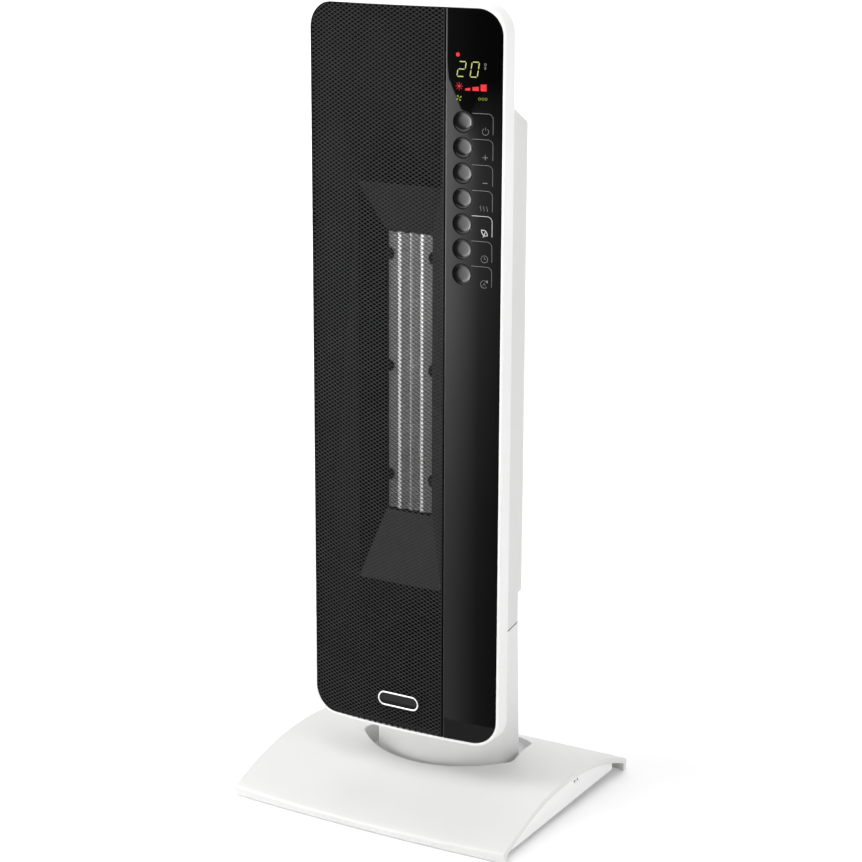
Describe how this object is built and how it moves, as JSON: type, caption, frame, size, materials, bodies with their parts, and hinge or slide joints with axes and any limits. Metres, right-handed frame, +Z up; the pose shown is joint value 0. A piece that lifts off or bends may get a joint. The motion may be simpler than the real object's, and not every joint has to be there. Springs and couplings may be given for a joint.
{
  "type": "ceramic tower heater",
  "caption": "Upright ceramic fan heater: slim white tower with a dark mesh outlet and a control strip, on an arched base that it swings on.",
  "frame": {"origin": "on the floor, under the middle of the base", "axes": "+X to the viewer's right as seen from the front, +Y towards the back, +Z up"},
  "size_m": [0.313, 0.269, 0.8],
  "materials": {
    "white_plastic": "fine satin moulding",
    "black_plastic": "matt",
    "gloss_black": "high gloss",
    "grey_plastic": "matt",
    "rubber": "matt",
    "dark_mesh": "satin dark grey",
    "steel": "plain",
    "aluminium": "satin",
    "circuit_board": "solder mask"
  },
  "bodies": {
    "base": {"base_shell": "white_plastic", "base_end_panel_left": "white_plastic", "base_end_panel_right": "white_plastic", "base_bottom_plate": "grey_plastic", "base_screw_1": "steel", "base_screw_2": "steel", "base_screw_3": "steel", "base_screw_4": "steel", "foot_front_left": "rubber", "foot_front_right": "rubber", "foot_rear_left": "rubber", "foot_rear_right": "rubber", "recess_cup": "white_plastic", "turntable_ring": "grey_plastic", "tilt_switch": "black_plastic", "cord_gland": "black_plastic"},
    "tower": {"badge_plate": "aluminium", "control_board": "circuit_board", "control_panel": "gloss_black", "display_module": "black_plastic", "electrode_plate": "steel", "fan_bearing": "steel", "fan_motor": "steel", "fan_scroll": "black_plastic", "fin_block_1": "aluminium", "fin_block_2": "aluminium", "fin_block_3": "aluminium", "fin_block_4": "aluminium", "front_frame": "white_plastic", "front_grille": "dark_mesh", "heater_frame": "black_plastic", "heater_terminal_1": "steel", "heater_terminal_2": "steel", "housing_screw_1": "steel", "housing_screw_2": "steel", "housing_screw_3": "steel", "housing_screw_4": "steel", "oscillation_motor": "grey_plastic", "outlet_baffle": "black_plastic", "pedestal": "white_plastic", "pivot_spindle": "steel", "power_board": "circuit_board", "ptc_bar_1": "steel", "ptc_bar_2": "steel", "rear_housing": "white_plastic", "scroll_top_plate": "black_plastic", "spindle_retainer": "steel", "thermal_cutout": "black_plastic"},
    "fan": {"fan_rotor": "black_plastic", "fan_shaft": "steel"},
    "filter": {"filter_cassette": "white_plastic", "filter_mesh": "grey_plastic"},
    "crank": {"crank_arm": "steel"},
    "button_1": {"button_1": "gloss_black"},
    "button_2": {"button_2": "gloss_black"},
    "button_3": {"button_3": "gloss_black"},
    "button_4": {"button_4": "gloss_black"},
    "button_5": {"button_5": "gloss_black"},
    "button_6": {"button_6": "gloss_black"},
    "button_7": {"button_7": "gloss_black"}
  },
  "joints": [
    {"name": "oscillation", "type": "hinge", "parent": "base", "child": "tower", "pos_m": [0, 0.038, 0], "axis": [0, 0, 1], "range_deg": [-30, 30]},
    {"name": "crank_turn", "type": "hinge", "parent": "tower", "child": "crank", "pos_m": [0, -0.004, 0], "axis": [0, 0, 1], "range_deg": [-60, 60]},
    {"name": "fan_spin", "type": "hinge", "parent": "tower", "child": "fan", "pos_m": [-0.008, 0.019, 0.44], "axis": [0, 0, 1], "continuous": true},
    {"name": "filter_pull", "type": "slide", "parent": "tower", "child": "filter", "axis": [0, 1, 0], "range_m": [0, 0.06]},
    {"name": "button_1_press", "type": "slide", "parent": "tower", "child": "button_1", "axis": [-0.0901, 0.9959, 0], "range_m": [0, 0.0012], "stiffness_N_per_m": 300},
    {"name": "button_2_press", "type": "slide", "parent": "tower", "child": "button_2", "axis": [-0.0901, 0.9959, 0], "range_m": [0, 0.0012], "stiffness_N_per_m": 300},
    {"name": "button_3_press", "type": "slide", "parent": "tower", "child": "button_3", "axis": [-0.0901, 0.9959, 0], "range_m": [0, 0.0012], "stiffness_N_per_m": 300},
    {"name": "button_4_press", "type": "slide", "parent": "tower", "child": "button_4", "axis": [-0.0901, 0.9959, 0], "range_m": [0, 0.0012], "stiffness_N_per_m": 300},
    {"name": "button_5_press", "type": "slide", "parent": "tower", "child": "button_5", "axis": [-0.0901, 0.9959, 0], "range_m": [0, 0.0012], "stiffness_N_per_m": 300},
    {"name": "button_6_press", "type": "slide", "parent": "tower", "child": "button_6", "axis": [-0.0901, 0.9959, 0], "range_m": [0, 0.0012], "stiffness_N_per_m": 300},
    {"name": "button_7_press", "type": "slide", "parent": "tower", "child": "button_7", "axis": [-0.0901, 0.9959, 0], "range_m": [0, 0.0012], "stiffness_N_per_m": 300}
  ],
  "couplings": [
    {"joint": "crank_turn", "follows": "oscillation", "ratio": 2}
  ]
}
